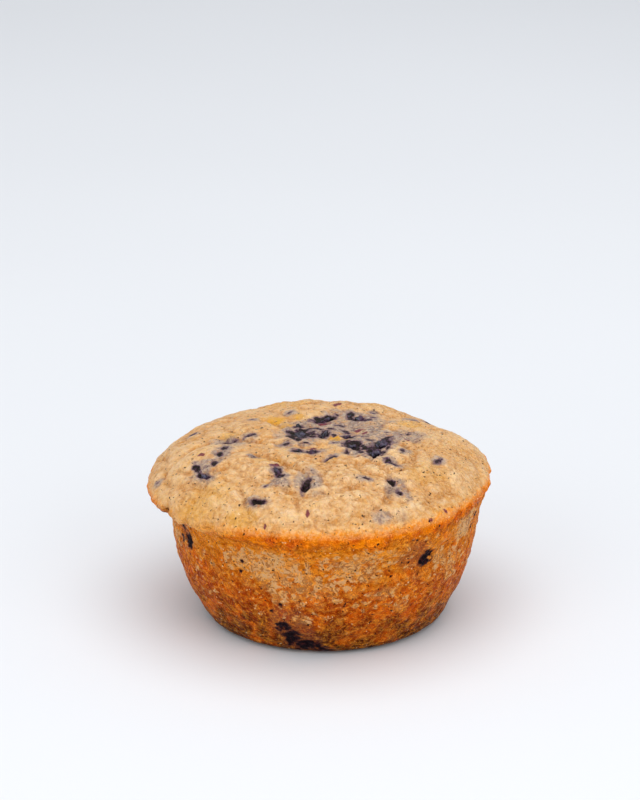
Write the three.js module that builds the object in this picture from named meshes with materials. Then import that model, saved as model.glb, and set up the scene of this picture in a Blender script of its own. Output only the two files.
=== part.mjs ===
// A low, round-topped muffin baked in a plain metal cup, as one solid.
// Millimetres, +Z up. The origin is on the surface that the muffin stands on, under the middle of its lip.
import * as THREE from "three";

// Driving dimensions of the baked shape
const FOOT_RADIUS = 23.7; // flat disc that the muffin stands on
const LIP_RADIUS = 36.5; // outermost edge, where the batter spread over the cup's rim
const LIP_HEIGHT = 29.8; // mean height of that edge
const LIP_ROUNDING = 0.8; // radius of the edge's upper corner
const DOME_RISE = 9.3; // top of the dome above the mean lip height
const DOME_POWER = 4.5; // how flat the middle of the dome is and how quickly it falls to the lip
const LEAN = 1.2; // the wall and the foot sit this far towards +X of the lip's centre
const LEAN_FADE = 6; // the lean fades out over this height below the lip

// How the lip's height waves round the muffin: [waves per turn, rise at +X, rise a quarter of a wave on]
const LIP_WAVES = [
  [1, 0.6, -0.9],
  [2, 0.4, -0.4],
  [3, 0.5, 0.3],
];

// Where the lip spilled further out: [angle in degrees, how far, width in degrees]
const SPILL = [195, 0.7, 25];

// The side that the cup moulded, from the foot's corner up to the neck under the lip, as [radius, height]
const WALL = [
  [FOOT_RADIUS, 0],
  [26.1, 1.1],
  [27.7, 4],
  [30.0, 8.5],
  [31.8, 14],
  [32.9, 20],
  [33.6, 27],
  [34.0, LIP_HEIGHT],
];
const WALL_LIP_RADIUS = WALL[WALL.length - 1][0];

// The wall flares out to the lip over a height that differs round the muffin: least at one angle,
// where the lip overhangs, and most on the opposite side
const FLARE_HEIGHT = 5.0;
const FLARE_SWING = 2.4;
const FLARE_SHARPEST_DEG = 200;

// Where the flare is drawn out further down the wall: [angle in degrees, how far, width in degrees]
const FLARE_SOFT = [285, 3.5, 45];

// Broad swells and hollows of the risen top: [angle in degrees, radius, height, width]
const SWELLS = [
  [60, 9, -0.9, 8],
  [318, 12, -0.5, 5],
  [188, 20, -0.9, 4],
  [212, 27, 0.7, 6],
  [252, 27, 0.5, 6],
  [285, 22, 0.6, 7],
  [335, 25, 0.6, 8],
  [12, 31, 0.8, 5],
  [42, 25, -0.6, 6],
  [65, 30, 1.2, 7],
  [95, 20, 0.6, 7],
  [100, 30, 0.9, 7],
  [140, 24, -0.5, 8],
];

// Facets
const SEGMENTS = 80;
const FOOT_RINGS = 2;
const WALL_RINGS = 22;
const DOME_RINGS = 18;

const TAU = 2 * Math.PI;
const { degToRad, smoothstep } = THREE.MathUtils;

// How high the lip stands at an angle
function lipHeight(angle) {
  const wave = ([count, rise, quarter]) => rise * Math.cos(count * angle) + quarter * Math.sin(count * angle);
  return LIP_WAVES.reduce((height, entry) => height + wave(entry), LIP_HEIGHT);
}

// How far out the lip reaches at an angle: nearly round, with two shallow waves and the spill
function lipRadius(angle) {
  const [degrees, spill, width] = SPILL;
  const fromSpill = (angle - degToRad(degrees)) / degToRad(width);
  const waves = 0.25 * Math.cos(2 * angle) + 0.2 * Math.sin(5 * angle + 1.0);
  return LIP_RADIUS + waves + spill * Math.exp(-fromSpill * fromSpill);
}

// Height of the rounded upper corner of the lip, at a distance in from the edge
function cornerRise(distance) {
  const left = Math.max(0, LIP_ROUNDING - distance);
  return Math.sqrt(LIP_ROUNDING ** 2 - left ** 2);
}

// Height of the top surface at a share of the lip's radius, 0 at the middle and 1 at the edge
function topHeight(angle, share) {
  const edge = lipHeight(angle) - LIP_HEIGHT;
  const reach = share * lipRadius(angle);
  const x = reach * Math.cos(angle);
  const y = reach * Math.sin(angle);
  const dome = (DOME_RISE - LIP_ROUNDING) * (1 - share ** DOME_POWER);
  let height = LIP_HEIGHT + edge * share ** 6 + cornerRise(lipRadius(angle) - reach) + dome;
  for (const [degrees, radius, rise, width] of SWELLS) {
    const dx = x - radius * Math.cos(degToRad(degrees));
    const dy = y - radius * Math.sin(degToRad(degrees));
    height += rise * Math.exp(-(dx * dx + dy * dy) / (width * width)) * (1 - share ** 8);
  }
  return height;
}

const wallCurve = new THREE.SplineCurve(WALL.map(([radius, height]) => new THREE.Vector2(radius, height)));

// [radius, height] of a point of the side, share 0 at the foot's corner and 1 at the lip's edge
function sidePoint(angle, share) {
  const point = wallCurve.getPoint(share);
  const height = (point.y / LIP_HEIGHT) * lipHeight(angle);
  const [softAngle, softHeight, softWidth] = FLARE_SOFT;
  const fromSoft = (2 - 2 * Math.cos(angle - degToRad(softAngle))) / degToRad(softWidth) ** 2;
  const swing = -FLARE_SWING * Math.cos(angle - degToRad(FLARE_SHARPEST_DEG));
  const flareHeight = FLARE_HEIGHT + swing + softHeight * Math.exp(-fromSoft);
  const flare = smoothstep(height, lipHeight(angle) - flareHeight, lipHeight(angle));
  return [point.x + (lipRadius(angle) - WALL_LIP_RADIUS) * flare, height];
}

// [radius, height] of a ring at an angle; rings are counted from the middle of the foot to that of the top
function section(angle, ring) {
  if (ring <= FOOT_RINGS) return [(FOOT_RADIUS * ring) / FOOT_RINGS, 0];
  const side = (ring - FOOT_RINGS) / WALL_RINGS;
  if (side <= 1) return sidePoint(angle, side);
  // The rings lie closer together near the lip, where the top curves most
  const inward = (ring - FOOT_RINGS - WALL_RINGS) / DOME_RINGS;
  const share = 1 - inward ** 2;
  return [share * lipRadius(angle), topHeight(angle, share)];
}

// A lathe gives the grid of faces, closed on the axis at both ends; then each point moves to its own place
function muffinGeometry() {
  const rings = FOOT_RINGS + WALL_RINGS + DOME_RINGS + 1;
  const outline = Array.from({ length: rings }, (_, ring) => new THREE.Vector2(...section(0, ring)));
  const geometry = new THREE.LatheGeometry(outline, SEGMENTS);
  const position = geometry.getAttribute("position");
  for (let i = 0; i < position.count; i += 1) {
    const turn = Math.floor(i / rings) % SEGMENTS;
    const angle = (TAU * turn) / SEGMENTS;
    const [radius, height] = section(angle, i % rings);
    const shift = LEAN * (1 - smoothstep(height, LIP_HEIGHT - LEAN_FADE, LIP_HEIGHT));
    position.setXYZ(i, radius * Math.cos(angle) + shift, radius * Math.sin(angle), height);
  }
  geometry.computeVertexNormals();
  return geometry;
}

function crumbMaterial() {
  return new THREE.MeshStandardMaterial({ name: "crumb", color: 0xd99a55, roughness: 0.62, metalness: 0 });
}

const muffin = new THREE.Mesh(muffinGeometry(), crumbMaterial());
muffin.name = "muffin";

const part = new THREE.Group();
part.add(muffin);

export default part;
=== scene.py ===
"""The looks of the fruit muffin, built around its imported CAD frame.

The crust is one closed mesh: the same baked shape as the CAD solid, given real lumps, folds, pits and
wrinkles. Pieces of cooked fruit sit in it. Lengths are in millimetres until the meshes are made, and in
metres from there. The last number given to a noise is its seed.
"""

import itertools
import math

import bmesh
import bpy
import numpy as np
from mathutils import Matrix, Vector


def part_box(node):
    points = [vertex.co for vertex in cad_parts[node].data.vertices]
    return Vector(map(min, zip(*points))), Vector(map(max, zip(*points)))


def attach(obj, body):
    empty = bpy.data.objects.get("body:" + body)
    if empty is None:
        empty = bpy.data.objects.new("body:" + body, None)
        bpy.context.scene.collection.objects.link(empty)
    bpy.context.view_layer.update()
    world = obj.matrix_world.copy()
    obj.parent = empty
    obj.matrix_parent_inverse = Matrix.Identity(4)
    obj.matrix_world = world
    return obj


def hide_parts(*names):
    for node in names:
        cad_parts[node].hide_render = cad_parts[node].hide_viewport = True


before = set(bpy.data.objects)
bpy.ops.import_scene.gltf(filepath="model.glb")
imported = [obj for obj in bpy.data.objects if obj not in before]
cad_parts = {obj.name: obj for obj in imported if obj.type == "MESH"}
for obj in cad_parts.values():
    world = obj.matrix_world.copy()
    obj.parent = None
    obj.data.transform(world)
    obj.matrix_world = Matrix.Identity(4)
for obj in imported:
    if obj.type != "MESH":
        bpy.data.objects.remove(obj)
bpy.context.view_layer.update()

MM = 0.001
CAD_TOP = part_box("muffin")[1][2] / MM

# ---- Driving dimensions ----

LIP_RADIUS = 36.5
FOOT_RADIUS = 23.7
LIP_HEIGHT = 29.8
LIP_ROUNDING = 0.8

# Waves of the lip's height: how many go round it, and the rise of their cosine and of their sine
LIP_WAVES = [(1, 0.6, -0.9), (2, 0.4, -0.4), (3, 0.5, 0.3)]
LIP_WAVE_FADE = 6

# The lip's outline is a little oval and has a few ripples
LIP_OVAL = 0.25
LIP_RIPPLE = 0.2
LIP_RIPPLES = 5
LIP_RIPPLE_START = 1.0

# Where the lip spread furthest: angle, how far, width
SPILL = (math.radians(195), 0.7, math.radians(25))

# The hollow in the middle takes a little off the dome's highest point
DOME_LOSS = 0.1
DOME_RISE = CAD_TOP - LIP_HEIGHT + DOME_LOSS
DOME_POWER = 4.5

# How far the side stands to the right of the lip, and the height below the lip over which that fades out
LEAN = 1.2
LEAN_FADE = 6

# Radius and height of points along the moulded wall
WALL = [
    (FOOT_RADIUS, 0),
    (26.1, 1.1),
    (27.7, 4),
    (30.0, 8.5),
    (31.8, 14),
    (32.9, 20),
    (33.6, 27),
    (34.0, LIP_HEIGHT),
]
WALL_STEPS = 40

# The flare from the wall out to the lip: its height, how much that changes, where it is sharpest, and
# where it is softer still: angle, extra height, width
FLARE_HEIGHT = 5.0
FLARE_SWING = 2.4
FLARE_SHARPEST = math.radians(200)
FLARE_SOFT = (math.radians(285), 3.5, math.radians(45))

# A low bulge that fills the flare: angle, width, height, half its height on the wall, distance below the lip
FLARE_BULGE = (math.radians(285), math.radians(44.4), 0.7, 2.6, 4.2)

# Broad swells and hollows of the top: angle in degrees, radius, height, width
SWELLS = [
    (60, 9, -0.9, 8),
    (318, 12, -0.5, 5),
    (188, 20, -0.9, 4),
    (212, 27, 0.7, 6),
    (252, 27, 0.5, 6),
    (285, 22, 0.6, 7),
    (335, 25, 0.6, 8),
    (12, 31, 0.8, 5),
    (42, 25, -0.6, 6),
    (65, 30, 1.2, 7),
    (95, 20, 0.6, 7),
    (100, 30, 0.9, 7),
    (140, 24, -0.5, 8),
]
SWELL_FADE = 8

# Share of the way from the foot's middle to the top's middle, at the foot's corner and at the lip
FOOT_SHARE = 0.13
LIP_SHARE = 0.53

# How finely the crust and each piece of fruit are divided
CRUST_PARTS = 99
CHUNK_PARTS = 9

# ---- Where things lie ----

# Fruit that shows in the top: x, y, length, width, turn in degrees, how deep it lies
TOP_FRUIT = [
    (-4.1, 1.6, 8, 4.6, 75, 0.8),
    (-4.6, 6.8, 3.2, 1.5, 35, 0.5),
    (-0.6, 6.3, 3.6, 1.4, -5, 0.4),
    (1, 3, 5.6, 2.4, 80, 0.5),
    (1.2, 12.2, 6.4, 2.2, 36, 0.9),
    (6.8, 14.8, 3, 1.5, 70, 0.5),
    (9, 12.2, 5, 2.2, -20, 0.5),
    (11.6, 12.8, 1.4, 1, 0, 0.2),
    (4.6, 8.8, 2, 1.2, 20, 0.3),
    (5.8, 4.6, 3.4, 1.2, -60, 0.4),
    (5.9, 1.6, 2.6, 2, 10, 0.5),
    (6.4, -1.9, 3.2, 1.3, -70, 0.5),
    (7.2, -3.6, 4.6, 4, -60, 1.2),
    (5.8, -7.6, 2.4, 1.1, 80, 0.5),
    (8.8, -7.8, 1.7, 1.4, 0, 0.5),
    (13.2, -3.6, 6.4, 3.4, 60, 0.5),
    (11.8, -7.4, 6, 3.4, 105, 0.8),
    (17.6, -8.2, 2.2, 1, 80, 0.3),
    (15, -14.2, 4.6, 1.5, -48, 0.5),
    (2.6, -12, 3, 1.3, 40, 0.4),
    (-4.6, -8.5, 2.6, 2, 0, 0.5),
    (-1.6, -8.4, 3.4, 1.8, 15, 0.4),
    (-7.4, -4.4, 2.4, 1.1, 20, 0.3),
    (-8.9, -18.4, 3.8, 1.7, -68, 0.4),
    (-8, -21, 2, 1.4, -40, 0.8),
    (-2.6, -24.2, 4.4, 1.5, 76, 1.7),
    (-12.5, -28, 3.4, 1.1, -18, 1.5),
    (15.2, -21, 2.4, 1.2, -55, 0.9),
    (16.6, -23.8, 1.9, 1.3, -70, 0.6),
    (-19.7, -0.2, 3.8, 2.2, 10, 1.3),
    (-16.8, -1, 2.4, 0.9, -15, 0.5),
    (-14.9, 1.3, 2.6, 1.2, 15, 0.4),
    (-20, -4.6, 3, 1.3, 75, 0.5),
    (-21, -8.2, 2.8, 1.3, 80, 0.5),
    (-22.1, -12.4, 2, 1.1, 70, 0.4),
    (-25.8, -12.4, 3.4, 1.3, -75, 0.8),
    (-24.2, -15.8, 3.4, 1.5, -40, 1),
    (25.2, -10.4, 2.4, 1.2, 65, 0.3),
    (14.6, 2.2, 1.6, 1, 0, 0.2),
    (17.6, 1.4, 1.4, 0.9, 30, 0.2),
    (19.2, 2.4, 1.1, 0.7, 0, 0.2),
    (3.6, -3.4, 1.6, 0.9, -15, 0.3),
    (-2.9, -4, 1.3, 0.8, 0, 0.2),
    (9.6, -22.2, 1.8, 0.8, 10, 0.4),
    (-11, -24.2, 1.1, 0.8, 0, 0.2),
    (-13.8, -10.8, 1.1, 0.6, 10, 0.2),
    (-34.2, -8.6, 0.8, 0.6, 60, 0.2),
    (12, 16.6, 1.7, 1.1, 0, 0.3),
    (20.4, 15.6, 1.8, 1, -20, 0.3),
    (-6.6, 14.6, 1.5, 0.9, 30, 0.2),
    (-14.6, 10.8, 1.6, 0.9, -10, 0.2),
    (-4.5, 30, 3.2, 1.7, 35, 0.6),
    (14.5, 30, 2.4, 1.2, -30, 0.4),
    (-17.5, 27.5, 2.8, 1.6, 70, 0.5),
    (-27.5, 9, 1.8, 1, 10, 0.3),
    (24, 18.5, 2, 1.3, 50, 0.4),
    (-6.8, 3.6, 1.5, 1, 60, 0.3),
    (-1.6, 3.2, 2.6, 1.2, 70, 0.4),
    (-1.9, 0.2, 2, 1.3, 30, 0.4),
    (2.4, 6, 2.2, 0.9, -15, 0.3),
    (3.2, 1.9, 1.6, 1.2, 80, 0.3),
    (8.4, 2.2, 2.2, 0.9, -30, 0.3),
    (7.9, 7.2, 1.8, 0.8, 15, 0.2),
    (9.6, -5.4, 1.6, 1.3, 0, 0.5),
    (10.6, -1.2, 2.2, 1, -50, 0.3),
    (14.9, -0.9, 2, 1, 20, 0.3),
    (14.6, -6.8, 2.4, 1.2, 85, 0.5),
    (9.2, -10.2, 1.8, 0.9, -20, 0.3),
    (5.2, -5.2, 1.4, 1, 0, 0.3),
]

# Purple-red flecks of fruit flesh in the top: x, y, length, width, turn in degrees
TOP_FLESH = [
    (3.8, 19.4, 2.6, 1.8, 60),
    (0.6, 9.9, 3.4, 2.2, 0),
    (8.4, 5.4, 2.2, 1.7, 20),
    (9.8, 3.4, 1.6, 1.2, 0),
    (-24.8, -8, 1.7, 1.3, 0),
    (-1.4, -6.6, 1.8, 1, 30),
    (-2.3, -32, 0.9, 1.6, 0),
    (26, -24.4, 1.1, 0.8, 0),
    (23, -28, 1.2, 0.7, 40),
    (13.5, 8.4, 1.6, 0.8, 0),
    (18.6, -1.6, 1.5, 0.8, 0),
    (-9.3, -16.3, 2.2, 1.6, 10),
    (-11, -33.2, 0.6, 0.9, 0),
]

# Broad lumps and dips of the top's back: x, y, rise, width
TOP_LUMPS = [(20, 21, 0.55, 3.5), (27.5, 16, -0.5, 4.0)]

# Golden patches where the butter browned: x, y, length, width, turn in degrees, strength
TOP_GOLD = [
    (-9.7, 10.3, 4.4, 4.4, 10, 0.9),
    (-7, 7, 3.2, 3.4, -20, 0.7),
    (-4.6, 12, 2, 3.4, 0, 0.8),
    (3.4, 0.6, 3, 2.6, 0, 1),
    (2.4, -13, 2.6, 1.6, 20, 0.6),
    (20, 9.5, 6, 5, -20, 0.6),
    (-19.5, 2.6, 4, 2.6, 10, 0.6),
    (-25, -24, 13, 9, 20, 0.4),
    (-16, -30, 7, 4, -20, 0.4),
    (-10.5, -13, 5, 3, 0, 0.4),
    (22, -16, 10, 6, 30, 0.25),
    (-8, 22, 9, 6, 0, 0.3),
    (14, 24, 8, 5, 30, 0.25),
]

# Greyish stains that the juice left in the top: x, y, length, width, turn in degrees, strength
TOP_STAINS = [
    (-2, 4, 13, 12, 60, 1),
    (5, 7, 16, 11, 20, 1),
    (10.5, -3.5, 16, 12, -60, 1),
    (9, 13, 11, 8, -10, 0.8),
    (16, 1, 12, 7, 0, 0.7),
    (-19, -1, 9, 5, 0, 0.55),
    (-20.5, -7, 4, 9, 0, 0.5),
    (-24.5, -14, 6, 8, 20, 0.75),
    (-8.2, -21.5, 4.4, 8, 15, 0.75),
    (-2.2, -23, 6, 7, 0, 0.75),
    (-3, -8.5, 8, 4.2, 0, 0.6),
    (16, -22.5, 5, 7, 20, 0.8),
    (15.2, -14, 6, 4, -48, 0.6),
    (12.4, -31, 4.6, 3, 0, 0.55),
    (17, -30, 3, 2, 0, 0.35),
    (-1, -27, 4, 2.4, 0, 0.4),
    (-4.5, 30, 7, 5, 35, 0.6),
    (14.5, 30, 5, 4, 0, 0.5),
    (-17.5, 27.5, 6, 5, 0, 0.6),
    (24, 18.5, 5, 4, 0, 0.5),
]

# Creases of the top, each a line through x, y points, then its depth and its half width
TOP_CREASES = [
    ([(-33, -7), (-27, -2), (-21, 0.5), (-16, -0.5), (-12, -2.5), (-8, -3.5)], 0.7, 0.8),
    ([(-30, -10), (-26.5, -14), (-22, -16), (-19, -14)], 0.5, 0.7),
    ([(-14, -9), (-9.5, -12), (-6, -16), (-3.4, -20), (-2.6, -25)], 0.7, 0.8),
    ([(-12, 10.5), (-10, 9), (-8.2, 5.6)], 0.8, 0.7),
    ([(11, -13), (13.5, -17), (15.5, -22), (14, -27)], 0.6, 0.8),
    ([(13, 17), (17, 15.5), (22, 11), (27, 7)], 0.6, 0.8),
    ([(-27, -17), (-22, -22), (-17, -27), (-12, -28.5)], 0.5, 0.8),
    ([(0, -13), (4, -15.5), (9, -14), (12, -10)], 0.6, 0.8),
    ([(-7, -26), (-2, -28), (4, -27), (9, -24)], 0.5, 0.7),
    ([(-5, 20), (3, 23), (12, 22)], 0.5, 0.9),
    ([(18, -4), (20, -9), (19, -15), (16, -18)], 0.45, 0.8),
]

# Fruit in the side: angle in degrees, height, width along the wall, height of the mark, turn, depth
SIDE_FRUIT = [
    (206.5, 26.6, 1.3, 5, 25, 0.4),
    (210.5, 22.4, 2.8, 3.4, 0, 0.7),
    (206, 22, 1.6, 1.6, 0, 0.3),
    (308.6, 22, 2.8, 2.4, 0, 0.5),
    (309.6, 22.7, 3.4, 1.2, 32, 0.3),
    (308.8, 22.4, 4.2, 1.2, 80, 0.3),
    (309.6, 21.6, 3, 1.1, 150, 0.3),
    (239, 22.6, 0.7, 0.9, 20, 0.3),
    (238, 20.2, 0.9, 0.5, 0, 0.3),
    (253, 13.5, 1.1, 0.8, 0, 0.4),
    (249, 11.5, 0.8, 0.7, 0, 0.3),
    (339, 26.4, 1.4, 1.2, 0, 0.2),
    (339.5, 25.1, 1.2, 1, 0, 0.2),
    (338, 23.8, 1.3, 1.3, 0, 0.2),
    (253, 7.6, 3.4, 2.8, 10, 0.4),
    (256, 4.6, 5.2, 4.4, -20, 0.6),
    (262, 2.6, 7, 3.4, 0, 0.6),
    (269, 1.2, 5, 1.8, 0, 0.3),
    (33, 19, 2.8, 3.4, 20, 0.5),
    (61, 8.5, 2.6, 1.8, 0, 0.4),
    (97, 24, 2, 2.8, -20, 0.4),
    (128, 13, 3.4, 2.4, 10, 0.5),
    (161, 22.5, 1.6, 1.8, 0, 0.3),
    (176, 7, 2.4, 1.6, 0, 0.4),
]

# Juice stains in the side: angle in degrees, height, width, height of the mark, turn, strength
SIDE_STAINS = [
    (208, 26, 6, 9, 10, 0.8),
    (303.5, 24, 7, 8, -20, 1),
    (305, 18.5, 5, 4, 0, 0.6),
    (248, 17.5, 3.4, 2, 0, 0.5),
    (221, 21.5, 3, 2, 0, 0.4),
    (275, 24, 3, 3, 0, 0.5),
    (287, 24, 3.4, 3, 0, 0.5),
    (292, 16, 4, 3, 0, 0.4),
    (257, 7.5, 9, 10, 0, 1),
    (287, 22.5, 3, 5, 0, 0.6),
    (324, 27.5, 4.5, 5, 0, 0.35),
    (33, 19.5, 6, 7, 0, 0.6),
    (61, 9, 6, 5, 0, 0.5),
    (97, 23, 5, 6, 0, 0.6),
    (128, 13.5, 7, 5, 0, 0.6),
    (161, 22, 4, 4, 0, 0.4),
    (176, 8, 5, 4, 0, 0.5),
]

# Pale crumb that shows through the side's crust: angle in degrees, height, width, height of the patch,
# turn, strength
SIDE_PALE = [
    (330, 25.8, 7, 5.5, 40, 1.4),
    (316, 21.5, 4, 5.5, 0, 0.7),
    (325, 19, 9, 9, 0, 0.45),
    (252, 22, 14, 8, 0, 0.75),
    (283, 23, 14, 7, 0, 0.7),
    (262, 17, 20, 6, 0, 0.5),
    (238, 23, 8, 5, 0, 0.6),
    (292, 15.5, 6, 4, 0, 0.5),
    (300, 12, 7, 4, 0, 0.3),
    (262, 9.5, 4, 2.5, 0, 0.5),
    (20, 22, 16, 8, 0, 0.6),
    (75, 20, 20, 9, 0, 0.6),
    (118, 22, 14, 7, 0, 0.6),
    (150, 17, 18, 9, 0, 0.5),
    (190, 21, 12, 7, 0, 0.5),
]

# Mean radius of the wall, for distances along it
SIDE_RADIUS = 33.0

# Notches in the lip between two lobes of batter: angle and width in degrees, depth
LIP_NOTCHES = [(208.5, 2, 1.4), (231, 2.5, 0.6), (176, 2, 0.7), (62, 2.5, 0.8), (118, 3, 0.7)]

# Where the browning of the lip reaches furthest over the top: angle, width
BROWNED_EDGE = (math.radians(280), math.radians(45))

# Where pale batter ran over the lip and hides its browned band: angle, width
PALE_LIP = (math.radians(222), math.radians(17))


# ---- Blending ----


def smooth(low, high, value):
    """0 below low, 1 above high and an eased curve between; low may be the larger"""
    share = np.clip((value - low) / (high - low), 0, 1)
    return share * share * (3 - 2 * share)


def srgb(red, green, blue):
    """A colour given as 0 to 255 screen values, as the linear numbers that the shaders use"""
    value = np.array([red, green, blue]) / 255
    return np.where(value <= 0.04045, value / 12.92, ((value + 0.055) / 1.055) ** 2.4)


def mix(first, second, share):
    """Blends two colours, or two arrays of them, by a share for each point"""
    share = np.asarray(share)[..., None]
    return first * (1 - share) + second * share


def painted(colour, coats):
    """The colour with coats laid over it one by one, each a colour and how much of it there is"""
    for coat, share in coats:
        colour = mix(colour, coat, share)
    return colour


def near_angle(angle, middle, width):
    """1 at an angle, falling to 0 to both sides of it"""
    return np.exp((2 * np.cos(angle - middle) - 2) / width**2)


# ---- Colours ----

CRUMB_PALE = srgb(224, 174, 122)
# Painted highlight of the top's curds and painted shade of its seams
CURD_PAINTED_HIGHLIGHT = srgb(246, 208, 160)
SEAM_PAINTED_SHADE = srgb(182, 120, 66)
GRAIN_LIGHT = srgb(255, 222, 170)
# Painted highlight of the top's light curled lines
CURL_PAINTED_HIGHLIGHT = srgb(244, 206, 150)
CURL_DARK = srgb(134, 62, 6)
BUTTER_GOLD = srgb(228, 164, 38)

FOOT_BROWN = srgb(62, 12, 0)
BAND_BRIGHT = srgb(240, 126, 2)
BAND_DEEP = srgb(194, 74, 0)
CRUMB_SHADE = srgb(172, 118, 70)
CRUMB_LIT = srgb(218, 168, 118)
# Painted highlights of the side's light curled lines
PAINTED_GLINT = srgb(246, 160, 50)
PAINTED_GLINT_BRIGHTENS = (2.0, 1.8, 1.2)

JUICE_GREY = srgb(158, 138, 134)
JUICE_PURPLE = srgb(80, 66, 90)
JUICE_BROWN = srgb(120, 62, 48)
HAZE_DARK = srgb(104, 86, 92)
HAZE_LIGHT = srgb(194, 174, 156)
FLESH_RED = srgb(108, 8, 54)
HALO_SIDE = srgb(92, 50, 34)
HALO_TOP = srgb(120, 94, 104)
FLESH_SIDE = srgb(52, 20, 28)
FLESH_TOP = srgb(76, 40, 70)
FLESH_DARK = srgb(28, 13, 26)
FRUIT_CORE = srgb(20, 10, 18)
FRUIT_SKIN = srgb(12, 9, 15)
# Painted highlight of the fruit skin
FRUIT_PAINTED_HIGHLIGHT = srgb(80, 74, 96)
FRUIT_TORN = srgb(72, 36, 66)

FLOOR_DIM = (0.80, 0.82, 0.85)
FLOOR_LIGHT = (0.82, 0.84, 0.87)
SKY = (0.955, 0.97, 1.0, 1)

# Specks: painted glints, then pores and spice: cells per metre, share of cells left empty, size, colour,
# strength
SPECKS = [
    # Painted highlight: light specks that stand in for glints
    (900.0, 0.74, 0.20, srgb(255, 224, 170), 0.7),
    (950.0, 0.55, 0.23, srgb(48, 24, 16), 1.0),
    (620.0, 0.78, 0.23, srgb(34, 16, 16), 1.0),
]


# ---- Noise ----

LATTICE = 64
FULL_BILLOW = 0.36
HIGHEST_BILLOW = 1.2
BILLOW_ROUNDNESS = 0.7


def perlin(points, size, seed):
    """Smooth noise from about -0.7 to 0.7 with bumps about `size` across"""
    slopes = np.random.default_rng(seed).standard_normal((LATTICE,) * 3 + (3,))
    slopes /= np.linalg.norm(slopes, axis=-1, keepdims=True)
    place = points / size
    cell = np.floor(place).astype(int)
    part = place - cell
    # Eased, so that the cells join smoothly
    ease = part**3 * (part * (part * 6 - 15) + 10)
    total = np.zeros(len(points))
    for corner in itertools.product((0, 1), repeat=3):
        slope = slopes[tuple(((cell + corner) % LATTICE).T)]
        weight = np.where(corner, ease, 1 - ease).prod(axis=1)
        total += weight * ((part - corner) * slope).sum(axis=1)
    return total


def cloud(points, size, octaves, seed):
    """Several sizes of Perlin noise added up, each half as large and half as strong as the last"""
    return sum(perlin(points, size / 2**n, seed + n) / 2**n for n in range(octaves))


def warped(points, size, amount, seed):
    """The points pushed about by smooth noise, so that a pattern on them swirls"""
    push = np.stack([perlin(points, size, seed + axis) for axis in range(3)], axis=1)
    return points + amount * push


def billows(points, size, seed):
    """Rounded swellings from 0 to about 1 high, with thin creases winding between them"""
    folded = np.abs(perlin(warped(points, size, 0.35 * size, seed), size, seed + 3))
    return np.minimum(HIGHEST_BILLOW, folded / FULL_BILLOW) ** BILLOW_ROUNDNESS


def cells(points, size, seed):
    """For scattered seeds about `size` apart: distance to the nearest and the second nearest, in sizes,
    and a random number of the nearest one"""
    random = np.random.default_rng(seed).random((LATTICE,) * 3 + (4,))
    place = points / size
    cell = np.floor(place).astype(int)
    nearest = np.full(len(points), np.inf)
    second = np.full(len(points), np.inf)
    name = np.zeros(len(points))
    for step in itertools.product((-1, 0, 1), repeat=3):
        entry = random[tuple(((cell + step) % LATTICE).T)]
        distance = np.linalg.norm(cell + step + entry[:, :3] - place, axis=1)
        closer = distance < nearest
        second = np.where(closer, nearest, np.minimum(second, distance))
        nearest = np.where(closer, distance, nearest)
        name = np.where(closer, entry[:, 3], name)
    return nearest, second, name


def cobbles(points, size, seed):
    """Rounded lumps about `size` across, 0 to 1 high and each a little higher or lower than the next,
    and how close each point is to the crease between two of them"""
    near, far, name = cells(warped(points, 1.3 * size, 0.45 * size, seed), size, seed + 3)
    gap = far - near
    height = 1 - near**2 + 0.6 * (name - 0.5) * smooth(0, 0.35, gap)
    return height, smooth(0.22, 0, gap)


# ---- Base shape ----


def lip_height(angle):
    """Height of the lip above the foot"""
    waves = (cosine * np.cos(n * angle) + sine * np.sin(n * angle) for n, cosine, sine in LIP_WAVES)
    return LIP_HEIGHT + sum(waves)


def lip_radius(angle):
    """How far the lip stands out from the middle"""
    middle, spill, width = SPILL
    waves = LIP_OVAL * np.cos(2 * angle) + LIP_RIPPLE * np.sin(LIP_RIPPLES * angle + LIP_RIPPLE_START)
    return LIP_RADIUS + waves + spill * np.exp(-(((angle - middle) / width) ** 2))


def spline(a, b, c, d, t):
    """The point at a share t of the way from b to c on a smooth curve through a, b, c and d"""
    return b + 0.5 * t * (c - a + t * (2 * a - 5 * b + 4 * c - d + t * (3 * (b - c) + d - a)))


def wall_table():
    """Share of the wall's length, radius and height, at close steps along a smooth curve through WALL"""
    knots = np.array(WALL, float)
    knots = np.vstack([2 * knots[0] - knots[1], knots, 2 * knots[-1] - knots[-2]])
    rows = []
    for a, b, c, d in zip(knots, knots[1:], knots[2:], knots[3:]):
        rows.extend(spline(a, b, c, d, t) for t in np.linspace(0, 1, WALL_STEPS, endpoint=False))
    rows.append(knots[-2])
    table = np.array(rows)
    length = np.r_[0, np.cumsum(np.linalg.norm(np.diff(table, axis=0), axis=1))]
    return length / length[-1], table[:, 0], table[:, 1]


def side_shape(angle, along):
    """Radius and height of the wall and its flare, at a share of the way along it from the foot"""
    edge = lip_height(angle)
    length, wall_radius, wall_height = wall_table()
    height = np.interp(along, length, wall_height) / LIP_HEIGHT * edge
    middle, extra, width = FLARE_SOFT
    flare_height = FLARE_HEIGHT - FLARE_SWING * np.cos(angle - FLARE_SHARPEST)
    flare_height += extra * near_angle(angle, middle, width)
    flare = smooth(edge - flare_height, edge, height)
    return np.interp(along, length, wall_radius) + (lip_radius(angle) - WALL[-1][0]) * flare, height


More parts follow.
